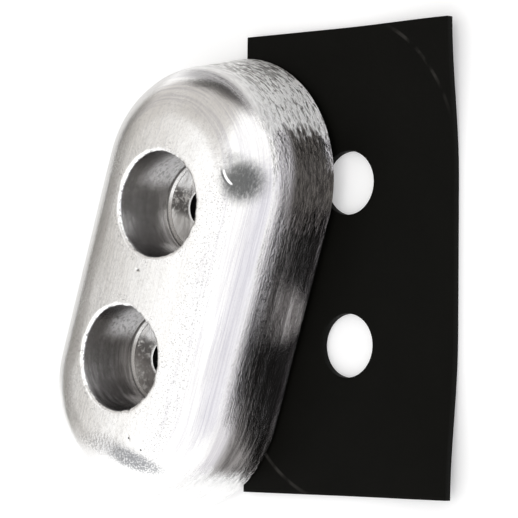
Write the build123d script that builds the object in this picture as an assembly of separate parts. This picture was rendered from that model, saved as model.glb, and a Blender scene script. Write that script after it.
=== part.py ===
from build123d import *
import os
from math import asin, degrees, radians, sin, tan

# Bolt-on hull anode: an obround zinc casting with two deep round bolt recesses,
# a steel insert cast into the floor of each, and the rubber backing pad that goes
# between the anode and the hull. Millimetres. The origin is the centre of the
# casting's back face, +Y runs along the casting and +Z points out of its face.

# ---- casting ------------------------------------------------------------------
anode_length = 147.0       # over the rounded ends, at the back face
anode_width = 80.0         # at the back face
anode_height = 35.5        # back face to the crest of the front face
wall_draft = 11.3          # degrees, the side wall leans in towards the front
edge_radius = 20.0         # big rolled edge between side wall and front face
crown_radius = 250.0       # the front face is slightly domed across its width
back_edge_chamfer = 0.6    # where the casting was dressed off its open mould

# ---- bolt recesses ------------------------------------------------------------
bolt_pitch = 50.0          # between the two bolt holes
bolt_hole_dia = 11.0       # clearance for an M10 bolt
bolt_hole_chamfer = 0.8    # on the insert, where the bolt goes in
recess_mouth_dia = 32.6    # where the tapered wall would meet the front crest
recess_floor_dia = 29.6    # at the foot of the tapered wall
recess_depth = 21.0        # front crest to the insert's seat
recess_lip_chamfer = 1.0    # the mouth's edge is broken all round
seat_ring_width = 1.2      # ring of zinc bevelled down on to the insert
seat_ring_drop = 0.8

# ---- cast-in steel inserts ----------------------------------------------------
insert_thickness = 5.0
insert_cover = 2.9         # how far the zinc grips over the insert's rim

# ---- backing pad --------------------------------------------------------------
pad_length = 144.0
pad_width = 81.0
pad_thickness = 3.0
pad_hole_dia = 19.6
pad_hole_across = 0.5      # the holes were punched this far off the pad's mid-width
pad_hole_shift = -1.0      # and this far off its mid-length
pad_turn = 18.5            # degrees, the pad lies turned under the casting
pad_edge_offset = 13.0     # the pad's near long edge passes this far from the origin
pad_slide = 6.5            # the pad's mid-length lies this far up from the origin

# ---- worked out from the sizes above ------------------------------------------
half_width = anode_width / 2
end_centre = anode_length / 2 - half_width     # each end is a half turn about here
bolt_radius = bolt_hole_dia / 2
seat_height = anode_height - recess_depth      # insert's top face above the back face
insert_underside = seat_height - insert_thickness
floor_radius = recess_floor_dia / 2
exposed_radius = floor_radius - seat_ring_width
insert_radius = exposed_radius + insert_cover
overshoot = 5.0                                # cutters run this far past a face
bolt_places = [Pos(0, side * bolt_pitch / 2, 0) for side in (1, -1)]

# The casting lies with its back face on the pad's near top edge and with its far
# back edge on the floor, so the pad falls away from the back face at this angle.
far_reach = pad_edge_offset + end_centre * sin(radians(pad_turn)) + half_width - back_edge_chamfer
pad_tilt = degrees(asin(pad_thickness / far_reach))


def half_section():
    """Half the casting's cross-section: back face, drafted wall, rolled edge and crown."""
    wall_top = half_width - anode_height * tan(radians(wall_draft))
    corners = [(0, 0), (half_width, 0), (wall_top, anode_height), (0, anode_height)]
    crown = Pos(0, anode_height - crown_radius) * Circle(crown_radius)
    section = make_face(Polyline(*corners, close=True)) & crown
    shoulder = section.vertices().sort_by(Axis.Y)[-2]      # the next highest corner after the crest
    section = fillet(shoulder, edge_radius)
    back_corner = section.vertices().sort_by(Axis.X)[-1]
    return chamfer(back_corner, back_edge_chamfer)


def turned(points):
    """A solid of revolution about Z from a closed outline of (radius, height) points."""
    return revolve(Plane.XZ * make_face(Polyline(*points, close=True)), Axis.Z)


def recess_void():
    """What is open above and below the insert's place, with the pocket that the insert fills."""
    mouth_radius = recess_mouth_dia / 2
    foot_height = seat_height + seat_ring_drop
    flare = (mouth_radius - floor_radius) / (anode_height - foot_height)
    top = anode_height + overshoot
    return turned([
        (0, -overshoot),
        (bolt_radius, -overshoot),
        (bolt_radius, insert_underside),
        (insert_radius, insert_underside),
        (insert_radius, seat_height),
        (exposed_radius, seat_height),
        (floor_radius, foot_height),
        (mouth_radius + flare * overshoot, top),
        (0, top),
    ])


def zinc_casting():
    """The obround casting: a straight run between two half turns, less the two recesses."""
    half = half_section()
    middle = extrude(Plane.XZ * (half + mirror(half, Plane.YZ)), end_centre, both=True)
    end = Pos(0, end_centre, 0) * revolve(Plane.XZ * half, Axis.Z, 180)
    blank = middle + end + Rot(0, 0, 180) * end
    voids = [place * recess_void() for place in bolt_places]
    casting = blank - voids
    rims = new_edges(blank, *voids, combined=casting)
    lips = rims.filter_by(lambda edge: edge.center().Z > anode_height - edge_radius / 2)
    return chamfer(lips, recess_lip_chamfer)


def steel_insert():
    """Round washer under the seat ring, its bolt hole chamfered on the seat side."""
    return turned([
        (bolt_radius, insert_underside),
        (insert_radius, insert_underside),
        (insert_radius, seat_height),
        (bolt_radius + bolt_hole_chamfer, seat_height),
        (bolt_radius, seat_height - bolt_hole_chamfer),
    ])


def backing_pad():
    """Flat rubber sheet with two holes, lying half under the casting."""
    holes = [Pos(pad_hole_across, pad_hole_shift) * place * Circle(pad_hole_dia / 2) for place in bolt_places]
    sheet = extrude(Rectangle(pad_width, pad_length) - holes, pad_thickness)
    lying = Rot(0, 0, pad_turn) * Pos(pad_edge_offset, pad_slide, 0) * Rot(0, pad_tilt, 0)
    return lying * Pos(pad_width / 2, 0, -pad_thickness) * sheet


parts = {
    "zinc_casting": zinc_casting(),
    "steel_insert_upper": bolt_places[0] * steel_insert(),
    "steel_insert_lower": bolt_places[1] * steel_insert(),
    "backing_pad": backing_pad(),
}

os.makedirs("parts", exist_ok=True)
for name, shape in parts.items():
    export_step(shape, f"parts/{name}.step")
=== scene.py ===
"""Dresses the sacrificial anode: a zinc casting with two galvanised seats, on its rubber pad."""

import math

import bmesh
import bpy
import numpy as np
from mathutils import Matrix, Vector


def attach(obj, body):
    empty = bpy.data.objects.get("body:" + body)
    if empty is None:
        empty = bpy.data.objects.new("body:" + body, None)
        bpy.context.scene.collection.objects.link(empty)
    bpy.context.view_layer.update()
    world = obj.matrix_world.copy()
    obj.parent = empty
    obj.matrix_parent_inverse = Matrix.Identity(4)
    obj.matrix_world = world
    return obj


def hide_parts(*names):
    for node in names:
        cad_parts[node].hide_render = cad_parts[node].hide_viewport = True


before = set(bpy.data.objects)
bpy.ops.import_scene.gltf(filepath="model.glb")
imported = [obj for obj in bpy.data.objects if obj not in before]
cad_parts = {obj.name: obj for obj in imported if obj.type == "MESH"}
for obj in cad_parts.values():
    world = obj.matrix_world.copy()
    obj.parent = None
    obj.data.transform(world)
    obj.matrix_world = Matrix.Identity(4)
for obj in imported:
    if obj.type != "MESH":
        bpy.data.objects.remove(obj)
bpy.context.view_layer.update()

MM = 0.001

# The casting's outline and section, in mm, as in the part's source.
anode_height = 35.5
half_width = 40.0
end_centre = 33.5
wall_draft = math.radians(11.3)
edge_radius = 20.0
crown_radius = 250.0
back_edge_chamfer = 0.6
bolt_centre = 25.0
bolt_radius = 5.5
mouth_radius = 16.3
floor_radius = 14.8
wall_foot = 15.3
seat_height = 14.5
exposed_radius = 13.6
insert_radius = 16.5
insert_underside = 9.5

# The backing pad, in mm and degrees.
pad_width = 81.0
pad_length = 144.0
pad_thickness = 3.0
pad_hole_radius = 9.8
pad_hole_across = 0.5
pad_hole_shift = -1.0
pad_turn = math.radians(18.5)
pad_edge_offset = 13.0
pad_slide = 6.5
corner_curl = 3.8
pad_reach = (
    pad_edge_offset
    + end_centre * math.sin(pad_turn)
    + half_width
    - back_edge_chamfer
)
pad_tilt = math.asin(pad_thickness / pad_reach)

# The casting's skin, and the marks of the mould and of handling on it. Sizes are in mm, and
# places are in plan.
lip_round = 1.1
dent_at, dent_size, dent_depth = (29.0, 41.5), 6.0, 0.22
pinholes = [(-0.8, 3.4, 0.55), (12.1, -47.2, 0.6), (17.2, -49.3, 0.45)]
pinhole_width = 0.35
rough_at, rough_size = (13.0, -53.0), (14.0, 7.0)
skin_sink = -0.16
mould_ridge_height, mould_ridge_width = 23.2, 0.55
cut_at, cut_radius = (29.5, 46.2), 8.1


# ---------------------------------------------------------------- mesh helpers


def smoothstep(x, low, high):
    """Eases from 0 to 1 while x goes from low to high: three t squared less two t cubed."""
    t = np.clip((np.asarray(x, float) - low) / (high - low), 0.0, 1.0)
    return t * t * (3.0 - 2.0 * t)


def hashed(ix, iy, iz, seed):
    """A repeatable number from 0 to 1 for each whole-number lattice point."""
    h = (
        ix.astype(np.int64) * 73856093
        ^ iy.astype(np.int64) * 19349663
        ^ iz.astype(np.int64) * 83492791
        ^ (seed * 2654435761)
    ) & 0xFFFFFFFF
    h = (h ^ (h >> 15)) * 2246822519 & 0xFFFFFFFF
    h = (h ^ (h >> 13)) * 3266489917 & 0xFFFFFFFF
    h = h ^ (h >> 16)
    return h / 4294967295.0


def soft_noise(p, size, seed):
    """Smooth value noise from -1 to 1; size is the lump size in mm, for all axes or for each."""
    q = p / np.asarray(size, float)
    base = np.floor(q).astype(np.int64)
    f = q - base
    f = f * f * f * (f * (f * 6.0 - 15.0) + 10.0)
    total = 0.0
    for dx in (0, 1):
        for dy in (0, 1):
            for dz in (0, 1):
                weight = (
                    (f[..., 0] if dx else 1 - f[..., 0])
                    * (f[..., 1] if dy else 1 - f[..., 1])
                    * (f[..., 2] if dz else 1 - f[..., 2])
                )
                total = total + weight * hashed(
                    base[..., 0] + dx, base[..., 1] + dy, base[..., 2] + dz, seed
                )
    return 2.0 * total - 1.0


def grid_faces(rows, cols, start, flip, keep=None):
    """Quads of a rows x cols grid of points that closes on itself across its columns.

    keep marks the columns that have faces; a face needs both of its columns.
    """
    r = np.arange(rows - 1)[:, None]
    c = np.arange(cols)[None, :]
    n = (c + 1) % cols
    a, b = r * cols + c, r * cols + n
    d, e = (r + 1) * cols + n, (r + 1) * cols + c
    quads = np.stack([a, b, d, e], axis=-1)
    if keep is not None:
        quads = quads[:, keep & np.roll(keep, -1)]
    quads = quads.reshape(-1, 4)
    return (quads[:, ::-1] if flip else quads) + start


def make_piece(name, grids, weld, sharp):
    """One smooth-shaded mesh from (points in mm, flip, kept columns) grids.

    The grids are welded within that distance in metres where their edges meet, and edges
    past the sharp angle in degrees stay sharp.
    """
    points, faces, start = [], [], 0
    for xyz, flip, keep in grids:
        rows, cols = xyz.shape[:2]
        points.append(xyz.reshape(-1, 3) * MM)
        faces.append(grid_faces(rows, cols, start, flip, keep))
        start += rows * cols
    mesh = bpy.data.meshes.new(name)
    mesh.from_pydata(np.concatenate(points).tolist(), [], np.concatenate(faces).tolist())
    piece = bpy.data.objects.new(name, mesh)
    bpy.context.scene.collection.objects.link(piece)
    work = bmesh.new()
    work.from_mesh(mesh)
    bmesh.ops.remove_doubles(work, verts=work.verts, dist=weld)
    loose = [v for v in work.verts if not v.link_faces]
    bmesh.ops.delete(work, geom=loose, context="VERTS")
    bmesh.ops.recalc_face_normals(work, faces=work.faces)
    work.to_mesh(mesh)
    work.free()
    mesh.shade_smooth()
    mesh.set_sharp_from_angle(angle=math.radians(sharp))
    mesh.update()
    return piece


# ------------------------------------------------------------- casting surface

# The rolled edge is a circle that touches the drafted wall and, inside it, the crown's circle.
draft_out = np.array([math.cos(wall_draft), math.sin(wall_draft)])
draft_up = np.array([-math.sin(wall_draft), math.cos(wall_draft)])
crown_base = anode_height - crown_radius
edge_start = (half_width * math.cos(wall_draft) - edge_radius) * draft_out
across = edge_start @ draft_up - crown_base * draft_up[1]
gap = edge_start[0] ** 2 + (edge_start[1] - crown_base) ** 2
climb = -across + math.sqrt(across**2 - gap + (crown_radius - edge_radius) ** 2)
edge_centre = edge_start + climb * draft_up
edge_top_angle = math.atan2(edge_centre[1] - crown_base, edge_centre[0])
crown_end = edge_centre[0] + edge_radius * math.cos(edge_top_angle)
edge_foot = edge_centre[0] + edge_radius * math.cos(wall_draft)
wall_end = half_width - back_edge_chamfer * math.tan(wall_draft)


def skin_height(rho):
    """Height of the outer skin where the plan distance to the centre line is rho, in mm:
    crown, rolled edge and drafted wall in turn."""
    crown = crown_base + np.sqrt(np.maximum(crown_radius**2 - rho**2, 0.0))
    edge = edge_centre[1] + np.sqrt(
        np.maximum(edge_radius**2 - (rho - edge_centre[0]) ** 2, 0.0)
    )
    wall = (half_width - rho) / math.tan(wall_draft)
    return np.where(rho < crown_end, crown, np.where(rho < edge_foot, edge, wall))


def plan_distance(x, y):
    """Distance in plan to the line between the two end centres."""
    return np.hypot(x, np.maximum(np.abs(y) - end_centre, 0.0))


def skin_normal(x, y):
    """Outward normal of the outer skin at a plan point, from the slope of its height."""
    rho = np.maximum(plan_distance(x, y), 1e-6)
    step = 0.02
    slope = (skin_height(rho + step) - skin_height(rho - step)) / (2 * step)
    slope = np.clip(slope, -1.0 / math.tan(wall_draft), 0.0)
    out_x = x / rho
    out_y = np.sign(y) * np.maximum(np.abs(y) - end_centre, 0.0) / rho
    n = np.stack([-slope * out_x, -slope * out_y, np.ones_like(rho)], axis=-1)
    return n / np.linalg.norm(n, axis=-1, keepdims=True)


def skin_relief(p):
    """How far the cast skin stands off its drawn surface, in mm: slow waves, finer level waves
    on the wall, a mould ridge, a shallow dent, pinholes and one rough place."""
    x, y, z = p[..., 0], p[..., 1], p[..., 2]
    low = skin_sink + 0.05 * soft_noise(p, 19.0, 3) + 0.018 * soft_noise(p, 5.0, 5)
    walls = smoothstep(anode_height - z, 2.0, 9.0)
    low = low + walls * 0.030 * soft_noise(p, [18.0, 18.0, 2.3], 9)
    low = low + walls * 0.010 * soft_noise(p, [5.0, 5.0, 1.6], 10)
    # A fine ridge left by the mould runs round the rolled edge at one height.
    off_ridge = z - mould_ridge_height - 0.02 * (y - 50.0)
    ridge = 0.10 * np.exp(-((off_ridge / mould_ridge_width) ** 2))
    low = low + ridge * smoothstep(y, 5.0, 30.0)
    low = low + (1.0 - walls) * 0.010 * soft_noise(p, 2.2, 11)
    away = np.hypot(x - dent_at[0], y - dent_at[1])
    low = low - dent_depth * np.exp(-((away / dent_size) ** 2) * 1.6)
    for px, py, deep in pinholes:
        low = low - deep * np.exp(-(((x - px) ** 2 + (y - py) ** 2) / pinhole_width**2))
    rough = np.exp(
        -(
            ((x - rough_at[0]) / rough_size[0]) ** 2
            + ((y - rough_at[1]) / rough_size[1]) ** 2
        )
    )
    return low + rough * 0.06 * soft_noise(p, 1.6, 12)


def skin_targets():
    """Plan points round one half of the casting: straight side, end, other side, and back
    along the line between the holes, closely spaced where the section bends."""
    side_steps, turn_steps, roll_steps = 44, 166, 40
    side = np.linspace(0.0, end_centre, side_steps, endpoint=False)
    turn = np.linspace(0.0, math.pi, turn_steps, endpoint=False)
    right = np.stack([np.full(side_steps, wall_end), side], axis=-1)
    end = np.stack([wall_end * np.cos(turn), end_centre + wall_end * np.sin(turn)], axis=-1)
    left = np.stack([np.full(side_steps, -wall_end), side[::-1] + side[1]], axis=-1)
    roll = np.linspace(0.0, 1.0, roll_steps, endpoint=False)
    edge_share = edge_top_angle - wall_draft
    crossing = np.concatenate(
        [
            np.linspace(wall_end, edge_foot, 12, endpoint=False),
            edge_centre[0] + edge_radius * np.cos(wall_draft + roll * edge_share),
            np.linspace(crown_end, 0.0, 31, endpoint=False),
        ]
    )
    middle_x = np.concatenate([-crossing, [0.0], crossing[:0:-1]])
    middle = np.stack([middle_x, np.zeros_like(middle_x)], axis=-1)
    return np.concatenate([right, end, left, middle])


def half_skin(sign):
    """The grids of the half of the casting round one bolt hole: sign is +1 for the upper hole
    and -1 for the lower. Each column is a plan ray from the hole to the outline or to the line
    between the two holes, and its rows follow the section."""
    mirror = np.array([1.0, sign, 1.0])
    targets = skin_targets()
    columns = len(targets)
    dx, dy = targets[:, 0], targets[:, 1] - bolt_centre
    far = np.hypot(dx, dy)
    dx, dy = dx / far, dy / far
    last_rho = plan_distance(targets[:, 0], targets[:, 1])

    def around_hole(radius, height):
        """A closed line about the hole, at that radius and height in each column."""
        height = np.broadcast_to(height, dx.shape)
        return np.stack([radius * dx, bolt_centre + radius * dy, height], axis=-1)

    # The lip's rounding varies slowly round the mouth.
    mouth = around_hole(mouth_radius, 0.0) * mirror
    turn_in = lip_round * (
        0.95 + 0.26 * soft_noise(mouth, 3.1, 23) + 0.10 * soft_noise(mouth, 1.1, 24)
    )
    lip = mouth_radius + turn_in + 0.05

    # The outer surface: rows spaced evenly along each column's own section. The steep wall
    # needs samples close together in plan, so the far end is crowded.
    samples, rows, crowding = 500, 72, 1.6
    share = np.linspace(0.0, 1.0, samples)[:, None]
    reach = lip + (far - lip) * (1.0 - (1.0 - share) ** crowding)
    x, y = reach * dx, bolt_centre + reach * dy
    z = skin_height(np.minimum(plan_distance(x, y), last_rho))
    run = np.sqrt(
        np.diff(x, axis=0) ** 2 + np.diff(y, axis=0) ** 2 + np.diff(z, axis=0) ** 2
    )
    run = np.concatenate([np.zeros((1, columns)), np.cumsum(run, axis=0)])
    even = np.linspace(0.0, 1.0, rows)
    kept = np.empty((rows, columns))
    for j in range(columns):
        kept[:, j] = np.interp(even * run[-1, j], run[:, j], reach[:, j])
    x, y = kept * dx, bolt_centre + kept * dy
    z = skin_height(np.minimum(plan_distance(x, y), last_rho))
    outer = np.stack([x, y, z], axis=-1)
    relief = skin_relief(outer * mirror) * smoothstep(z, 0.6, 2.5)
    outer = outer + skin_normal(x, y) * relief[..., None]

    # The lip, the recess wall and its foot, down to the seat: radius, height and how loosely
    # the cast wall follows them.
    lip_z = outer[0, :, 2]
    recess = []
    lip_steps, wall_steps = 6, 22
    for k in range(1, lip_steps + 1):
        a = k / lip_steps * math.radians(84.0)
        radius = lip - turn_in * math.sin(a)
        height = lip_z - turn_in * (1.0 - math.cos(a))
        recess.append((radius, height, 1.6 + 2.2 * math.sin(math.pi * k / (lip_steps + 1))))
    for k in range(1, wall_steps + 1):
        t = k / wall_steps
        radius = (lip - turn_in) * (1 - t) + floor_radius * t
        height = (lip_z - turn_in) * (1 - t) + wall_foot * t
        recess.append((radius, height, 1.0 if k < wall_steps else 0.3))
    for t in (0.33, 0.66, 1.0):
        radius = floor_radius * (1 - t) + exposed_radius * t
        recess.append((radius, wall_foot * (1 - t) + seat_height * t, 0.3))
    bands = [outer[0]]
    for radius, height, loose in recess:
        p = around_hole(radius, height)
        w = p * mirror
        push = loose * (
            0.05 * soft_noise(w, [4.0, 4.0, 9.0], 21) + 0.035 * soft_noise(w, 1.5, 22)
        )
        p[:, 0] += dx * push
        p[:, 1] += dy * push
        bands.append(p)
    # The insert fills the pocket under the exposed ring; the hole goes on to the back face.
    hole_chamfer = 0.35
    bands += [
        around_hole(radius, height)
        for radius, height in (
            (insert_radius, seat_height),
            (insert_radius, insert_underside),
            (bolt_radius, insert_underside),
            (bolt_radius, hole_chamfer),
            (bolt_radius + hole_chamfer, 0.0),
        )
    ]
    inner = np.stack(bands)

    # The base: the short back-edge chamfer, then the flat back face in to the hole.
    foot = half_width - back_edge_chamfer - 0.1
    end_y = np.minimum(targets[:, 1], end_centre)
    shrink = np.minimum(1.0, foot / np.maximum(last_rho, 1e-6))
    rim_foot = np.stack(
        [targets[:, 0] * shrink, end_y + (targets[:, 1] - end_y) * shrink, 0 * dx], axis=-1
    )
    hole_rim = around_hole(bolt_radius + hole_chamfer, 0.0)
    back = np.stack([rim_foot * (1 - t) + hole_rim * t for t in np.linspace(0.0, 1.0, 5)])
    skirt = np.stack([outer[-1], back[0]])
    # Columns that end on the line between the holes have no skirt.
    on_outline = last_rho > wall_end - 1e-3
    return [
        (outer * mirror, sign < 0, None),
        (inner * mirror, sign > 0, None),
        (back * mirror, sign < 0, None),
        (skirt * mirror, sign < 0, on_outline),
    ]


def casting_skin():
    """The whole zinc casting: its two halves, welded along the line between the holes."""
    piece = make_piece("anode_casting", half_skin(1) + half_skin(-1), weld=4e-6, sharp=38)
    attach(piece, "root")
    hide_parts("zinc_casting")
    return piece


# --------------------------------------------------------------- steel inserts


def steel_face(name, node, centre_y, seed):
    """A punched steel seat: a revolved ring whose rows follow its section, with the galvanised
    skin's slow wrinkles on top."""
    bore_edge, clearance = 0.5, 0.05
    under = insert_underside + 0.03
    turn = np.linspace(0.0, 2 * math.pi, 240, endpoint=False)
    section = [(bolt_radius, under)]
    section += [(bolt_radius, z) for z in np.linspace(10.4, seat_height - bore_edge, 7)]
    for k in range(1, 6):
        a = k / 5.0 * math.pi / 2
        r = bolt_radius + bore_edge - bore_edge * math.cos(a)
        section.append((r, seat_height - bore_edge + bore_edge * math.sin(a)))
    section += [(r, seat_height) for r in np.linspace(6.4, exposed_radius - 0.25, 34)]
    section += [
        (exposed_radius - clearance, seat_height - clearance),
        (exposed_radius + 0.3, seat_height - 0.06),
        (insert_radius - clearance, seat_height - 0.06),
        (insert_radius - clearance, under),
        (bolt_radius, under),
    ]
    section = np.array(section)
    r, z = section[:, :1], section[:, 1:]
    x, y = r * np.cos(turn), centre_y + r * np.sin(turn)
    p = np.stack([x, y, np.broadcast_to(z, x.shape)], axis=-1)
    face = smoothstep(z, seat_height - 0.3, seat_height - 0.02) * smoothstep(
        exposed_radius - r, 0.1, 1.2
    )
    lean = np.stack([x + 0.5 * (y - centre_y), y, p[..., 2]], axis=-1)
    wrinkle = 0.09 * soft_noise(lean, [2.6, 5.5, 9.0], seed) + 0.03 * soft_noise(
        lean, [1.1, 2.4, 9.0], seed + 1
    )
    p[..., 2] += face * (wrinkle - 0.12)
    piece = make_piece(name, [(p, False, None)], weld=2e-6, sharp=34)
    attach(piece, "root")
    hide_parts(node)
    return piece


# ---------------------------------------------------------------- backing pad


def pad_place(u, v, w):
    """A point of the pad in the part's frame: u across it from its near edge, v along it and
    w up from its upper face."""
    x = u * math.cos(pad_tilt) + w * math.sin(pad_tilt)
    z = -u * math.sin(pad_tilt) + w * math.cos(pad_tilt)
    x, y = x + pad_edge_offset, v + pad_slide
    c, s = math.cos(pad_turn), math.sin(pad_turn)
    return np.stack([x * c - y * s, x * s + y * c, z], axis=-1)


def pad_lift(u, v):
    """How far the sheet stands off its flat place, in mm: its two far corners curl up."""
    half = 0.5 * pad_length
    across = smoothstep(u, 34.0, pad_width)
    along = np.maximum(smoothstep(v, 22.0, half), 0.95 * smoothstep(-v, 22.0, half))
    return corner_curl * across**1.2 * along**1.1


def pad_half(sign):
    """The grids of the half of the sheet round one hole: top, cut edge and underside, each
    with its columns along plan rays from the hole, and its rows from the hole out or back."""
    soft = 0.3
    mid = -0.5 * pad_thickness
    right_u, left_u = pad_width / 2 - pad_hole_across, pad_width / 2 + pad_hole_across
    length = pad_length / 2 - sign * pad_hole_shift
    long_n, wide_n = 70, 84
    along = np.linspace(0.0, length, long_n, endpoint=False)
    wide = np.linspace(right_u, -left_u, wide_n, endpoint=False)
    targets = np.concatenate(
        [
            np.stack([np.full(long_n, right_u), along], axis=-1),
            np.stack([wide, np.full(wide_n, length)], axis=-1),
            np.stack([np.full(long_n, -left_u), length - along], axis=-1),
            np.stack([right_u - left_u - wide, np.zeros(wide_n)], axis=-1),
        ]
    )
    cols = len(targets)
    outline = np.ones(cols, bool)
    outline[-wide_n + 1 :] = False
    ray = targets - [0.0, bolt_centre]
    ray = ray / np.linalg.norm(ray, axis=-1, keepdims=True)
    inset = np.clip(targets, [-left_u + soft, -1.0], [right_u - soft, length - soft])

    def ring(radius):
        return ray * radius + [0.0, bolt_centre]

    first = ring(pad_hole_radius + soft)
    upper = [
        (ring(pad_hole_radius), -pad_thickness + soft),
        (ring(pad_hole_radius), mid),
        (ring(pad_hole_radius), -soft),
        (ring(pad_hole_radius + 0.3 * soft), -0.3 * soft),
        (first, 0.0),
    ]
    upper += [(first * (1 - t) + inset * t, 0.0) for t in np.linspace(0.0, 1.0, 42)[1:]]
    rim = [
        (inset, 0.0),
        (targets * 0.7 + inset * 0.3, -0.3 * soft),
        (targets, -soft),
        (targets, mid),
        (targets, -pad_thickness + soft),
        (inset, -pad_thickness),
    ]
    lower = [
        (first * (1 - t) + inset * t, -pad_thickness) for t in np.linspace(1.0, 0.0, 24)
    ]
    lower += [(ring(pad_hole_radius), -pad_thickness + soft)]

    grids = []
    for rows, keep in ((upper, None), (rim, outline), (lower, None)):
        plan = np.stack([points for points, _ in rows])
        h = np.repeat([[height] for _, height in rows], cols, axis=1)
        u, v = plan[..., 0] + left_u, sign * plan[..., 1] + pad_hole_shift
        wave = 0.03 * soft_noise(np.stack([u, v, 0 * u], axis=-1), 16.0, 31)
        lift = pad_lift(u, v) + (wave - 0.04) * smoothstep(h, -1.5, 0.0)
        grids.append((pad_place(u, v, h + lift), sign < 0, keep))
    return grids


def backing_pad():
    """The rubber sheet: its two halves, each a star of rays round a hole, welded along the
    line between the holes."""
    piece = make_piece("rubber_pad", pad_half(1) + pad_half(-1), weld=1e-5, sharp=40)
    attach(piece, "root")
    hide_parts("backing_pad")
    return piece


# ------------------------------------------------------------------- materials


class Nodes:
    """Short names for building the node tree of a material or of the world."""

    def __init__(self, owner, output="ShaderNodeOutputMaterial", coords="Object"):
        owner.use_nodes = True
        self.owner = owner
        self.tree = owner.node_tree
        self.tree.nodes.clear()
        self.out = self.add(output)
        self.coords = self.add("ShaderNodeTexCoord").outputs[coords]

    def add(self, kind, **settings):
        node = self.tree.nodes.new(kind)
        for key, value in settings.items():
            setattr(node, key, value)
        return node

    def join(self, source, socket):
        """Sets a plain number or colour on the socket, and links anything else to it."""
        if isinstance(source, (int, float, tuple, list)):
            socket.default_value = source
        else:
            self.tree.links.new(source, socket)

    def placed(self, scale, location=(0.0, 0.0, 0.0)):
        """The coordinates, in m, times scale and moved by location."""
        node = self.add("ShaderNodeMapping")
        self.join(self.coords, node.inputs["Vector"])
        node.inputs["Scale"].default_value = scale
        node.inputs["Location"].default_value = location
        return node.outputs["Vector"]

    def length(self, vector):
        node = self.add("ShaderNodeVectorMath", operation="LENGTH")
        self.join(vector, node.inputs[0])
        return node.outputs["Value"]

    def noise(self, x, y, z, detail=3.0, rough=0.55, distort=0.0):
        """Noise from 0 to 1, with about x, y and z lumps to the mm along the three axes."""
        node = self.add("ShaderNodeTexNoise")
        self.join(self.placed((1000 * x, 1000 * y, 1000 * z)), node.inputs["Vector"])
        node.inputs["Scale"].default_value = 1.0
        node.inputs["Detail"].default_value = detail
        node.inputs["Roughness"].default_value = rough
        node.inputs["Distortion"].default_value = distort
        return node.outputs["Fac"]

    def ramp(self, value, low, high, out_low=0.0, out_high=1.0):
        """Eases from out_low to out_high while the value goes from low to high."""
        node = self.add("ShaderNodeMapRange", interpolation_type="SMOOTHSTEP")
        self.join(value, node.inputs["Value"])
        node.inputs["From Min"].default_value = low
        node.inputs["From Max"].default_value = high
        node.inputs["To Min"].default_value = out_low
        node.inputs["To Max"].default_value = out_high
        return node.outputs["Result"]

    def math(self, kind, a, b=0.0):
        node = self.add("ShaderNodeMath", operation=kind)
        self.join(a, node.inputs[0])
        self.join(b, node.inputs[1])
        return node.outputs[0]

    def product(self, *factors):
        out = factors[0]
        for factor in factors[1:]:
            out = self.math("MULTIPLY", out, factor)
        return out

    def most(self, *values):
        out = values[0]
        for value in values[1:]:
            out = self.math("MAXIMUM", out, value)
        return out

    def outside(self, value):
        """1 where the value is 0, and 0 where it is 1."""
        return self.math("SUBTRACT", 1.0, value)

    def mix(self, factor, a, b):
        node = self.add("ShaderNodeMix", data_type="RGBA")
        self.join(factor, node.inputs[0])
        self.join(a, node.inputs[6])
        self.join(b, node.inputs[7])
        return node.outputs[2]

    def axis(self, name):
        """One of the coordinates, in mm."""
        node = self.add("ShaderNodeSeparateXYZ")
        self.join(self.placed((1000, 1000, 1000)), node.inputs[0])
        return node.outputs[name]

    def upright(self):
        """1 where the surface faces up, 0 on a wall."""
        node = self.add("ShaderNodeSeparateXYZ")
        self.join(self.add("ShaderNodeNewGeometry").outputs["Normal"], node.inputs[0])
        return node.outputs["Z"]

    def spot(self, x, y, z, size_x, size_y, size_z=1000.0):
        """1 at a point, fading to 0 over an ellipsoid of those half sizes, all in mm."""
        scale = (1000 / size_x, 1000 / size_y, 1000 / size_z)
        location = (-x / size_x, -y / size_y, -z / size_z)
        return self.ramp(self.length(self.placed(scale, location)), 1.0, 0.2)

    def from_upright(self, x, y):
        """Distance from the upright line through (x, y), in mm."""
        return self.length(self.placed((1000, 1000, 0), (-x, -y, 0)))

    def ring(self, x, y, radius, width):
        """1 on an upright round line of that radius and width about (x, y), in mm."""
        off = self.math("ABSOLUTE", self.math("SUBTRACT", self.from_upright(x, y), radius))
        return self.ramp(off, width, 0.3 * width)

    def within(self, x, y, radius, soft):
        """1 inside an upright cylinder of that radius about (x, y), 0 outside, in mm."""
        return self.ramp(self.from_upright(x, y), radius + soft, radius)

    def at_holes(self, shape, *sizes):
        """A ring or a cylinder of those sizes about each of the two bolt holes."""
        return self.most(shape(0.0, bolt_centre, *sizes), shape(0.0, -bolt_centre, *sizes))

    def past_bolt(self, y):
        """How far y lies past the centre of its own half's bolt hole, in mm."""
        centre = self.math("MULTIPLY", self.math("SIGN", y), bolt_centre)
        return self.math("SUBTRACT", y, centre)

    def bump(self, height, strength, distance, under=None):
        node = self.add("ShaderNodeBump")
        node.inputs["Strength"].default_value = strength
        node.inputs["Distance"].default_value = distance * MM
        self.join(height, node.inputs["Height"])
        if under is not None:
            self.join(under, node.inputs["Normal"])
        return node.outputs["Normal"]

    def surface(self, color, roughness, normal, metallic=0.0, **fixed):
        shader = self.add("ShaderNodeBsdfPrincipled")
        self.join(metallic, shader.inputs["Metallic"])
        for key, value in fixed.items():
            shader.inputs[key.replace("_", " ")].default_value = value
        self.join(color, shader.inputs["Base Color"])
        self.join(roughness, shader.inputs["Roughness"])
        self.join(normal, shader.inputs["Normal"])
        self.join(shader.outputs[0], self.out.inputs["Surface"])
        return self.owner


white = (1.0, 1.0, 1.0, 1)
chalk_white = (0.98, 0.975, 0.985, 1)


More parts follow.
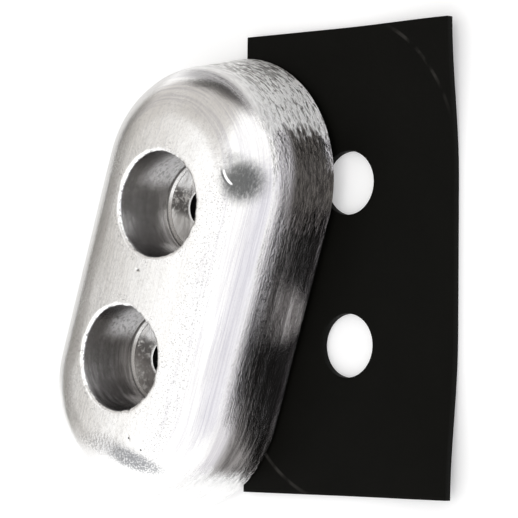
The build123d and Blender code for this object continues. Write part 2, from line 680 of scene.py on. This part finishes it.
def zinc_skin():
    """The cast zinc's node tree, with the patterns and places that its colour, gloss and
    relief share."""
    n = Nodes(bpy.data.materials.new("cast_zinc_satin"))
    n.x, n.y, n.z = n.axis("X"), n.axis("Y"), n.axis("Z")
    n.up = n.upright()
    n.from_bolt = n.past_bolt(n.y)

    n.clouds = n.noise(0.09, 0.05, 0.09, 4.0)
    n.rub = n.noise(1.5, 0.03, 1.5, 4.0, 0.6)
    n.lines = n.noise(0.035, 0.035, 1.9, 5.0, 0.65, 0.3)
    n.grain = n.noise(2.4, 2.4, 2.4, 4.0, 0.65)
    n.peel = n.noise(0.95, 0.95, 0.95, 3.0, 0.5)
    n.fine = n.noise(1.9, 1.9, 1.9, 2.0, 0.5)
    n.crackle = n.noise(0.42, 0.42, 0.95, 5.0, 0.6, 0.9)
    n.scaly = n.noise(0.30, 0.30, 1.5, 5.0, 0.7, 0.6)

    n.wall = n.ramp(n.up, 0.62, 0.30)
    n.shoulder = n.product(n.ramp(n.up, 0.30, 0.55), n.ramp(n.up, 0.985, 0.93))
    n.upper = n.ramp(n.y, -10.0, 10.0)
    n.inside = n.at_holes(n.within, mouth_radius + 0.25, 0.25)
    # The bands along the side end in ragged edges.
    ragged = n.ramp(n.noise(0.2, 0.2, 0.5, 4.0), 0.3, 0.7, -3.0, 3.0)
    n.wavy = n.math("ADD", n.y, ragged)

    # A dull stain over the dent.
    blot = n.ramp(n.noise(1.3, 0.6, 1.3, 5.0, 0.7), 0.32, 0.60, 0.72, 1.0)
    stain_tail = n.product(n.spot(24.4, 45.8, 31.5, 6.0, 5.0, 12.0), 0.45)
    n.stain = n.product(n.most(n.spot(28.0, 40.6, 30.0, 9.6, 10.2, 14.0), stain_tail), blot)
    # Open grain low on the face and along its right side, and two places worn dark.
    n.low = n.spot(9.0, -53.3, 32.0, 19.0, 5.6)
    n.strip = n.product(
        n.ramp(n.x, 15.0, 22.0), n.ramp(n.up, 0.76, 0.90), n.ramp(n.y, 48.0, 36.0)
    )
    n.worn = n.most(
        n.product(
            n.spot(14.0, -54.0, 33.0, 14.0, 4.6), n.ramp(n.fine, 0.38, 0.56, 0.30, 1.0)
        ),
        n.product(
            n.spot(-3.0, -54.6, 33.5, 13.0, 3.6), n.ramp(n.fine, 0.42, 0.60, 0.05, 0.40)
        ),
    )
    # Above the pad the two ends of the wall are coarse and pale.
    n.coarse = n.product(
        n.wall,
        n.most(n.ramp(n.wavy, 54.0, 60.0), n.ramp(n.wavy, -50.0, -57.0)),
        n.ramp(n.x, -24.0, -3.0),
    )
    # Painted shade low on the wall, beside the upper end.
    grime_foot = n.math("ADD", n.z, n.ramp(n.wavy, 44.0, 54.0, 4.0, 0.0))
    n.grime = n.product(
        n.ramp(n.wavy, 59.5, 55.5),
        n.ramp(n.wavy, 26.0, 40.0),
        n.ramp(n.x, 22.0, 25.0),
        n.ramp(n.z, 17.6, 13.6),
        n.ramp(grime_foot, 2.0, 4.5),
    )
    # A curved cut beside the dent, painted bright as its glint.
    n.cut = n.product(
        n.ring(*cut_at, cut_radius, 0.55), n.spot(23.7, 40.3, 33.0, 4.2, 4.2)
    )
    # A painted highlight high on the recess walls: white, and not metal, so the mirror shine
    # leaves them.
    n.bloom = n.product(
        n.inside,
        n.ramp(n.from_bolt, 0.0, 6.5),
        n.ramp(n.z, 31.0, 21.0),
        n.ramp(n.z, 15.5, 16.0),
        n.ramp(n.x, 6.0, 2.0),
        n.ramp(n.noise(0.7, 0.7, 1.2, 5.0, 0.7), 0.36, 0.54, 0.35, 1.0),
    )
    return n


def face_and_walls(n):
    """Colour of the bare casting: cloudy and rubbed on the face, lined on the shoulder, and
    painted with a dark reflection of the pad on the side over it."""
    cloud_dark, cloud_pale = (0.90, 0.89, 0.87, 1), (0.96, 0.955, 0.945, 1)
    rubbed, orange_peel = (0.70, 0.695, 0.71, 1), (0.60, 0.59, 0.58, 1)
    base = n.mix(n.ramp(n.clouds, 0.3, 0.7), cloud_dark, cloud_pale)
    base = n.mix(n.product(n.ramp(n.rub, 0.46, 0.70), 0.30), base, rubbed)
    peeled = n.product(n.ramp(n.peel, 0.50, 0.66), n.ramp(n.up, 0.80, 0.95), 0.22)
    base = n.mix(peeled, base, orange_peel)
    # Fine mould lines at constant height, from the shoulder down.
    mould_line, wall_line = (0.64, 0.63, 0.665, 1), (0.80, 0.79, 0.78, 1)
    lined = n.product(
        n.shoulder, n.ramp(n.lines, 0.44, 0.60), n.ramp(n.y, -54.0, -42.0), 0.50
    )
    base = n.mix(lined, base, mould_line)
    # The side over the pad is painted darker, grey then brownish, in bands that run round it: a
    # painted dark reflection of the pad.
    reflection_grey = (0.54, 0.52, 0.555, 1)
    over_pad = n.ramp(n.x, 6.0, 22.0)
    ends = n.product(n.ramp(n.wavy, 61.0, 57.0), n.ramp(n.wavy, -62.0, -55.0))
    reflection_band = n.product(over_pad, n.ramp(n.z, 23.2, 19.5), ends)
    base = n.mix(n.product(reflection_band, n.ramp(n.lines, 0.36, 0.60, 0.45, 0.9)), base, reflection_grey)
    drop = n.math("ADD", n.z, n.ramp(n.y, 28.0, 50.0, 0.0, 0.7))
    clean_foot = n.product(n.ramp(n.wavy, 47.0, 53.0), n.ramp(n.z, 6.0, 4.0))
    # The painted dark reflection of the pad, on the side over it.
    side = n.product(over_pad, n.ramp(drop, 18.0, 13.4), ends, n.outside(clean_foot))
    broad = n.ramp(n.noise(0.05, 0.05, 0.45, 4.0, 0.6, 0.4), 0.38, 0.62)
    pad_reflection_tone = n.mix(broad, (0.16, 0.145, 0.14, 1), (0.37, 0.35, 0.345, 1))
    base = n.mix(n.product(side, 0.9), base, pad_reflection_tone)
    base = n.mix(n.product(n.wall, n.ramp(n.lines, 0.54, 0.66), 0.30), base, wall_line)
    # The far side wall is painted a little darker too: painted shade of the floor it mirrors.
    away = n.product(
        n.ramp(n.up, 0.96, 0.87), n.ramp(n.x, -12.0, -18.0), n.ramp(n.y, -47.0, -37.0)
    )
    base = n.mix(n.product(away, 0.8), base, (0.50, 0.49, 0.475, 1))
    # The lower end of the painted reflection on the side is nearly black.
    darkest_reflection_tone = n.mix(broad, (0.06, 0.055, 0.053, 1), (0.20, 0.19, 0.185, 1))
    return n.mix(n.product(side, n.ramp(n.y, -30.0, -40.0), 0.75), base, darkest_reflection_tone)


def stains_and_pits(n, base):
    """The stain and a painted shade patch on the wall below it, open grain, worn places, specks
    and pinholes.
    """
    base = n.mix(n.ramp(n.stain, 0.0, 0.95, 0.0, 0.96), base, (0.105, 0.108, 0.106, 1))
    # Painted shade: a dark patch on the wall below the stain.
    painted_shade_patch = n.product(n.spot(38.0, 38.0, 9.0, 11.0, 15.0, 15.0), n.wall)
    base = n.mix(n.product(painted_shade_patch, 0.8), base, (0.16, 0.145, 0.135, 1))
    base = n.mix(n.product(n.low, 0.55), base, (0.50, 0.50, 0.515, 1))
    base = n.mix(n.ramp(n.worn, 0.0, 0.6, 0.0, 0.95), base, (0.27, 0.275, 0.29, 1))
    lips = n.at_holes(n.ring, mouth_radius + 2.4, 1.6)
    lips = n.product(lips, n.ramp(n.noise(0.25, 0.25, 0.25, 2.0), 0.48, 0.62))
    specks = n.product(
        n.ramp(n.fine, 0.56, 0.64),
        n.most(n.low, n.product(n.strip, 0.7), n.product(lips, 0.8), 0.08),
    )
    base = n.mix(n.product(specks, 0.75), base, (0.30, 0.295, 0.30, 1))
    # The pinholes are real pits; their near-black is painted shade inside them.
    pins = n.most(*[n.within(px, py, 0.22, 0.2) for px, py, _ in pinholes])
    return n.mix(n.product(pins, n.ramp(n.up, 0.5, 0.8)), base, (0.05, 0.05, 0.05, 1))


def recess_skin(n):
    """Colour inside the recesses and holes: painted shade on their dark sides and painted
    highlights on their bright sides, with specks and dark pits.
    """
    # Painted light: the recess walls are painted dark where they lie in shade and bright where
    # they catch the light.
    painted_light = n.most(
        n.product(n.ramp(n.from_bolt, -2.0, 6.0), n.ramp(n.z, 33.0, 20.0)),
        n.product(
            n.ramp(n.from_bolt, -4.0, -9.0),
            n.ramp(n.from_bolt, -15.6, -12.0),
            n.ramp(n.z, 25.0, 34.0),
            0.45,
        ),
        n.product(n.ramp(n.from_bolt, -13.2, -15.0), n.ramp(n.z, 25.0, 18.0)),
        n.product(n.ramp(n.z, 21.0, 17.0), 0.45),
        n.ramp(n.x, 2.0, 7.0),
        0.06,
    )
    turned = n.noise(0.08, 0.08, 0.9, 4.0, 0.6, 0.3)
    patchy = n.noise(0.16, 0.16, 0.22, 3.0, 0.5)
    painted_light = n.math("ADD", painted_light, n.ramp(turned, 0.30, 0.70, -0.14, 0.14))
    painted_light = n.math("ADD", painted_light, n.ramp(patchy, 0.30, 0.70, -0.12, 0.12))
    recess_light_and_specks = n.mix(n.ramp(painted_light, 0.0, 1.0), (0.16, 0.152, 0.152, 1), chalk_white)
    specked = n.product(
        n.ramp(n.fine, 0.56, 0.64),
        n.ramp(n.from_bolt, -6.0, 8.0, 0.0, 0.85),
        n.ramp(n.z, 19.0, 23.0),
    )
    recess_light_and_specks = n.mix(specked, recess_light_and_specks, (0.10, 0.095, 0.09, 1))
    # The ledge over the insert is painted bright on one side and darker on the other, with a dark
    # seam at its edge, and the line where the wall runs into it is painted bright on one side and
    # dark on the other.
    highlight_tone = (0.85, 0.84, 0.83, 1)
    foot_highlight = n.product(n.ramp(n.z, 16.2, 15.9), n.ramp(n.z, 15.3, 15.5))
    foot = n.mix(n.ramp(n.from_bolt, 3.0, -4.0), (0.16, 0.15, 0.15, 1), highlight_tone)
    recess_light_and_specks = n.mix(foot_highlight, recess_light_and_specks, foot)
    lowered = n.math("ADD", n.from_bolt, n.ramp(n.y, 1.0, -1.0, 0.0, -3.0))
    ledge_light = n.mix(n.ramp(lowered, 2.0, -4.0), highlight_tone, (0.34, 0.325, 0.31, 1))
    ledge_light = n.mix(n.ramp(n.z, 15.14, 15.0), (0.13, 0.125, 0.12, 1), ledge_light)
    recess_light_and_specks = n.mix(n.ramp(n.z, 15.5, 15.3), recess_light_and_specks, ledge_light)
    # Two blowholes in the walls, painted black for the shade inside them, and painted shade in
    # the bolt holes below the seats.
    holes = n.most(
        n.spot(-10.2, 36.3, 20.8, 0.75, 0.75, 0.9), n.spot(-12.7, -15.5, 26.9, 0.85, 0.85, 0.9)
    )
    recess_light_and_specks = n.mix(n.ramp(holes, 0.1, 0.5), recess_light_and_specks, (0.02, 0.02, 0.02, 1))
    # Painted shade in the bolt holes below the seats.
    return n.mix(n.ramp(n.z, 14.0, 11.0), recess_light_and_specks, (0.03, 0.03, 0.03, 1))


def rims_and_ends(n, base):
    """The recess rims' painted highlight, the lower end's painted white, the coarse ends, the
    painted dark band under the upper shoulder, the hidden side, the painted shade low beside the
    upper end, and the cut with its painted glint and shade.
    """
    # The recess rims are painted white as a painted highlight.
    rim_highlights = n.at_holes(n.ring, mouth_radius + 0.60, 0.85)
    rim_highlights = n.product(rim_highlights, n.ramp(n.z, 33.6, 34.3), n.ramp(n.fine, 0.64, 0.54))
    base = n.mix(rim_highlights, base, white)
    # The lower end is painted near white as a painted highlight, but for its worn places.
    base = n.mix(n.ramp(n.y, -49.0, -58.0, 0.0, 0.85), base, n.mix(n.worn, white, base))
    # The coarse ends are pale scales over a darker skin, darkest low on the upper one.
    under_scales = n.mix(
        n.product(n.upper, n.ramp(n.z, 23.0, 14.0)),
        (0.86, 0.855, 0.85, 1),
        (0.22, 0.21, 0.20, 1),
    )
    thinned = n.product(n.upper, n.ramp(n.x, 4.0, 22.0, -0.075, -0.02))
    pale = n.ramp(n.math("ADD", n.scaly, thinned), 0.37, 0.47)
    base = n.mix(n.coarse, base, n.mix(pale, under_scales, (1.0, 0.997, 0.99, 1)))
    # A painted dark reflection band runs under the shoulder of the upper end.
    under = n.product(
        n.ramp(n.z, 22.6, 24.8),
        n.ramp(n.z, 28.4, 26.6),
        n.ramp(n.y, 58.0, 63.0),
        n.ramp(n.x, -16.0, -5.0),
        n.ramp(n.lines, 0.36, 0.60, 0.78, 1.0),
    )
    base = n.mix(under, base, (0.41, 0.40, 0.405, 1))
    # The side away from the pad is plain dull zinc.
    hidden = n.product(n.ramp(n.up, 0.50, 0.25), n.ramp(n.x, -4.0, -26.0), 0.8)
    plain = n.mix(
        n.ramp(n.lines, 0.40, 0.62), (0.42, 0.415, 0.405, 1), (0.58, 0.575, 0.565, 1)
    )
    base = n.mix(hidden, base, plain)
    # Painted shade low on the wall beside the upper end.
    painted_shade_tone = n.mix(
        n.ramp(n.scaly, 0.38, 0.66), (0.045, 0.04, 0.037, 1), (0.20, 0.185, 0.17, 1)
    )
    base = n.mix(n.product(n.grime, 0.94), base, painted_shade_tone)
    # The cut is painted white as a painted glint, with a painted dark line of shade outside it.
    cut_shade = n.product(
        n.ring(*cut_at, cut_radius + 0.65, 0.5), n.spot(23.2, 40.0, 33.0, 4.4, 4.4)
    )
    base = n.mix(cut_shade, base, (0.16, 0.16, 0.165, 1))
    return n.mix(n.ramp(n.cut, 0.25, 0.6), base, white)


def zinc_gloss(n):
    """Roughness: satin, a little duller in clouds, in grain, at the coarse ends and in stains."""
    rough = n.ramp(n.clouds, 0.3, 0.7, 0.16, 0.22)
    rough = n.math("ADD", rough, n.product(n.coarse, 0.26))
    rough = n.math("ADD", rough, n.ramp(n.grain, 0.40, 0.7, 0.0, 0.08))
    rough = n.math("SUBTRACT", rough, n.product(n.wall, 0.05))
    rough = n.math("ADD", rough, n.product(n.inside, 0.02))
    return n.math("ADD", rough, n.product(n.most(n.stain, n.low), 0.12))


def zinc_bumps(n):
    """Fine relief, each as (height, strength, depth in mm), laid one over the other."""
    mould_lines = n.product(n.lines, n.math("MAXIMUM", n.wall, n.product(n.shoulder, 0.4)))
    sparkle = n.product(
        n.wall,
        n.ramp(n.x, 2.0, 14.0),
        n.most(n.ramp(n.y, 36.0, 50.0), n.ramp(n.y, -44.0, -54.0)),
    )
    scales = n.product(n.scaly, n.most(n.coarse, n.product(n.grime, 0.6)))
    open_grain = n.product(n.peel, n.most(n.low, n.stain, n.product(n.strip, 0.35)))
    bumps = None
    for height, strength, depth in (
        (mould_lines, 0.35, 0.16),
        (n.product(n.crackle, n.wall), 0.25, 0.30),
        (n.product(n.crackle, sparkle), 0.6, 0.6),
        (scales, 0.9, 0.9),
        (n.product(n.rub, n.ramp(n.up, 0.35, 0.9)), 0.30, 0.06),
        (n.peel, 0.45, 0.06),
        (open_grain, 0.8, 0.45),
        (n.product(n.grain, n.math("ADD", n.inside, 0.25)), 0.6, 0.16),
        (n.cut, 0.6, 0.12),
    ):
        bumps = n.bump(height, strength, depth, bumps)
    return bumps


def cast_zinc():
    """Satin cast zinc: mould lines round the walls, lengthwise rubbing on the crown, a side
    painted with the pad's dark reflection, stains, pits, and rough recesses with painted shade
    and painted highlights."""
    n = zinc_skin()
    base = stains_and_pits(n, face_and_walls(n))
    base = n.mix(n.inside, base, recess_skin(n))
    # The painted highlight high on the recess walls goes on last.
    base = n.mix(n.bloom, rims_and_ends(n, base), chalk_white)
    chalk = n.product(
        n.coarse,
        n.upper,
        n.ramp(n.x, 2.0, 18.0, 0.15, 1.0),
        n.ramp(n.scaly, 0.40, 0.54),
        n.outside(n.grime),
        0.85,
    )
    metal = n.outside(n.most(n.bloom, chalk))
    return n.surface(base, zinc_gloss(n), zinc_bumps(n), metallic=metal)


def galvanised_steel():
    """Wrinkled galvanised steel: pale streaks, with painted reflections on each seat's face,
    painted shade in the black bore and a painted highlight on its pale rim."""
    n = Nodes(bpy.data.materials.new("galvanised_seat"))
    streak = n.noise(0.55, 0.22, 0.5, 3.0, 0.55, 0.8)
    mottle = n.noise(0.6, 0.6, 0.6, 5.0, 0.65, 0.6)
    y = n.axis("Y")
    from_bolt = n.past_bolt(y)
    streak_dark, streak_pale = (0.78, 0.76, 0.73, 1), (0.98, 0.965, 0.94, 1)
    base = n.mix(n.ramp(streak, 0.35, 0.65), streak_dark, streak_pale)
    # Painted reflections: the middle of each seat is painted dark and mottled, and its upper part
    # white in streaks.
    middle = n.product(n.ramp(from_bolt, 6.0, 3.0), n.ramp(from_bolt, -6.5, -3.0))
    dark_reflection = n.product(n.ramp(mottle, 0.36, 0.52), middle)
    base = n.mix(n.product(dark_reflection, 0.9), base, (0.13, 0.12, 0.115, 1))
    # The low part of the lower seat is painted darker, a painted reflection.
    low_reflection = n.product(
        n.ramp(y, 0.0, -1.0),
        n.ramp(from_bolt, 1.0, -4.0),
        n.ramp(mottle, 0.62, 0.48, 0.35, 0.85),
    )
    base = n.mix(low_reflection, base, (0.25, 0.23, 0.215, 1))
    upper_part = n.ramp(from_bolt, 1.5, 6.0)
    white_reflection = n.product(upper_part, n.ramp(streak, 0.34, 0.52, 0.25, 1.0))
    base = n.mix(white_reflection, base, (1.0, 1.0, 0.99, 1))
    # Painted shade in the bore, which is black, and a painted highlight on its pale rim.
    bore_shade = n.at_holes(n.within, bolt_radius + 0.05, 0.15)
    rim = n.math("SUBTRACT", n.at_holes(n.within, bolt_radius + 0.75, 0.2), bore_shade)
    base = n.mix(rim, base, (0.90, 0.895, 0.885, 1))
    base = n.mix(bore_shade, base, (0.02, 0.02, 0.02, 1))
    rough = n.ramp(mottle, 0.3, 0.7, 0.30, 0.42)
    rough = n.math("SUBTRACT", rough, n.product(upper_part, 0.20))
    bumps = n.bump(streak, 0.4, 0.35)
    bumps = n.bump(n.noise(1.8, 1.8, 1.8, 4.0), 0.5, 0.12, bumps)
    return n.surface(base, rough, bumps, metallic=1.0)


def black_rubber():
    """Soft satin rubber sheet, nearly black, with the faint outline that the casting has
    pressed into it near two of its corners."""
    n = Nodes(bpy.data.materials.new("black_rubber"))
    grain = n.noise(1.4, 1.4, 1.4, 4.0, 0.6)
    dust = n.noise(0.06, 0.06, 0.06, 4.0, 0.6)
    base = n.mix(dust, (0.0020, 0.0020, 0.0014, 1), (0.0040, 0.0039, 0.0029, 1))
    pressed_radius, pressed_width, pressed_reach = half_width + 1.0, 0.8, 26.0
    marks = []
    for end, corner in ((1, pad_width - 8.0), (-1, 8.0)):
        centre = pad_place(pad_width / 2, end * end_centre, 0.0)
        about = pad_place(corner, end * (end_centre + 31.0), 0.0)
        marks.append(
            n.product(
                n.ring(float(centre[0]), float(centre[1]), pressed_radius, pressed_width),
                n.spot(*[float(c) for c in about], pressed_reach, pressed_reach),
            )
        )
    mark = n.product(n.most(*marks), n.ramp(n.noise(0.12, 0.12, 0.12, 3.0), 0.35, 0.6))
    base = n.mix(n.product(mark, 0.85), base, (0.035, 0.033, 0.030, 1))
    rough = n.ramp(grain, 0.3, 0.7, 0.50, 0.62)
    return n.surface(base, rough, n.bump(grain, 0.25, 0.05), Specular_IOR_Level=0.06)


casting = casting_skin()
casting.data.materials.append(cast_zinc())
steel = galvanised_steel()
upper_seat = steel_face("upper_steel_seat", "steel_insert_upper", bolt_centre, 41)
lower_seat = steel_face("lower_steel_seat", "steel_insert_lower", -bolt_centre, 51)
for seat in (upper_seat, lower_seat):
    seat.data.materials.append(steel)
pad = backing_pad()
pad.data.materials.append(black_rubber())


# --------------------------------------------------------- floor, light, camera


def make_floor():
    """A pale plane under the pad. It is tilted in the part's frame, since the casting leans on
    the pad's near edge with its far side on the floor."""
    across_floor = Vector(
        (
            math.cos(pad_tilt) * math.cos(pad_turn),
            math.cos(pad_tilt) * math.sin(pad_turn),
            -math.sin(pad_tilt),
        )
    )
    normal = Vector(
        (
            math.sin(pad_tilt) * math.cos(pad_turn),
            math.sin(pad_tilt) * math.sin(pad_turn),
            math.cos(pad_tilt),
        )
    )
    along_floor = normal.cross(across_floor)
    near_edge = Vector(
        (pad_edge_offset * math.cos(pad_turn), pad_edge_offset * math.sin(pad_turn), 0.0)
    )
    middle = (near_edge - normal * pad_thickness) * MM
    # Half the floor's width, in m.
    reach = 0.34
    corners = [
        middle + across_floor * a * reach + along_floor * b * reach
        for a, b in ((-1, -1), (1, -1), (1, 1), (-1, 1))
    ]
    mesh = bpy.data.meshes.new("floor")
    mesh.from_pydata([tuple(c) for c in corners], [], [(0, 1, 2, 3)])
    floor = bpy.data.objects.new("floor", mesh)
    bpy.context.scene.collection.objects.link(floor)
    # Its glow lifts it to the background's white where it is seen, and lights nothing.
    n = Nodes(bpy.data.materials.new("pale_floor"))
    light = n.add("ShaderNodeLightPath")
    mirrored = n.most(light.outputs["Is Glossy Ray"], light.outputs["Is Transmission Ray"])
    seen = n.most(light.outputs["Is Camera Ray"], mirrored)
    matt = n.add("ShaderNodeBsdfDiffuse")
    matt.inputs["Color"].default_value = (0.86, 0.86, 0.86, 1)
    glow = n.add("ShaderNodeEmission")
    n.join(n.product(seen, 0.24), glow.inputs["Strength"])
    both = n.add("ShaderNodeAddShader")
    n.join(matt.outputs[0], both.inputs[0])
    n.join(glow.outputs[0], both.inputs[1])
    n.join(both.outputs[0], n.out.inputs["Surface"])
    mesh.materials.append(n.owner)


def make_world():
    """A soft studio all round: a white room with a dimmer wall behind the camera and higher up
    past the far end, and a few darker openings."""
    world = bpy.data.worlds.new("soft_studio")
    bpy.context.scene.world = world
    n = Nodes(world, "ShaderNodeOutputWorld", "Generated")

    def toward(x, y, z, low, high):
        """From 0 to 1 while the cosine to the direction (x, y, z) goes from low to high."""
        dot = n.add("ShaderNodeVectorMath", operation="DOT_PRODUCT")
        n.join(n.coords, dot.inputs[0])
        dot.inputs[1].default_value = Vector((x, y, z)).normalized()
        return n.ramp(dot.outputs["Value"], low, high)

    room, dim = (1.24, 1.24, 1.24, 1), (0.665, 0.642, 0.618, 1)
    low_wall = n.product(
        toward(-0.88, 0.10, -0.46, 0.12, 0.40), toward(0.0, 1.0, 0.0, -0.90, -0.36)
    )
    high_wall = n.product(
        toward(-0.85, 0.45, 0.28, 0.40, 0.56), toward(0.0, 1.0, 0.0, -0.04, 0.25)
    )
    color = n.mix(high_wall, n.mix(low_wall, room, dim), dim)
    for opening, shade in (
        ((1.0, 0.0, 0.1, 0.72, 0.96), (0.90, 0.89, 0.95, 1)),
        ((-0.03, 1.0, 0.0, 0.95, 0.99), (0.50, 0.48, 0.47, 1)),
        ((-0.30, 0.95, 0.03, 0.93, 0.975), (0.17, 0.16, 0.155, 1)),
        ((-0.60, 0.80, -0.04, 0.93, 0.975), (0.10, 0.095, 0.09, 1)),
        ((-0.97, -0.20, 0.04, 0.90, 0.975), (0.30, 0.29, 0.27, 1)),
        ((-0.88, -0.25, 0.40, 0.962, 0.99), (0.38, 0.365, 0.35, 1)),
    ):
        color = n.mix(toward(*opening), color, shade)
    back = n.add("ShaderNodeBackground")
    n.join(color, back.inputs["Color"])
    n.join(1.0, back.inputs["Strength"])
    n.join(back.outputs[0], n.out.inputs["Surface"])


make_floor()
make_world()

# The view, in degrees and mm: where the optical axis meets the back-face plane, and from where.
view_azimuth = math.radians(14.523)
view_elevation = math.radians(47.317)
view_roll = math.radians(86.564)
view_distance = 850.48
view_target = Vector((15.50, 13.47, 0.0))

toward_camera = Vector(
    (
        math.cos(view_elevation) * math.cos(view_azimuth),
        math.cos(view_elevation) * math.sin(view_azimuth),
        math.sin(view_elevation),
    )
)
level_right = Vector((-math.sin(view_azimuth), math.cos(view_azimuth), 0.0))
level_up = toward_camera.cross(level_right)
camera_up = level_up * math.cos(view_roll) + level_right * math.sin(view_roll)
camera_right = camera_up.cross(toward_camera)
lens = bpy.data.cameras.new("camera")
lens.lens = 187.64
lens.sensor_width = 36.0
lens.sensor_fit = "HORIZONTAL"
lens.clip_start = 0.01
lens.clip_end = 50.0
camera = bpy.data.objects.new("camera", lens)
bpy.context.scene.collection.objects.link(camera)
place = (view_target + toward_camera * view_distance) * MM
camera.matrix_world = Matrix(
    (
        (camera_right.x, camera_up.x, toward_camera.x, place.x),
        (camera_right.y, camera_up.y, toward_camera.y, place.y),
        (camera_right.z, camera_up.z, toward_camera.z, place.z),
        (0, 0, 0, 1),
    )
)
bpy.context.scene.camera = camera

bpy.context.scene.view_settings.view_transform = "Standard"
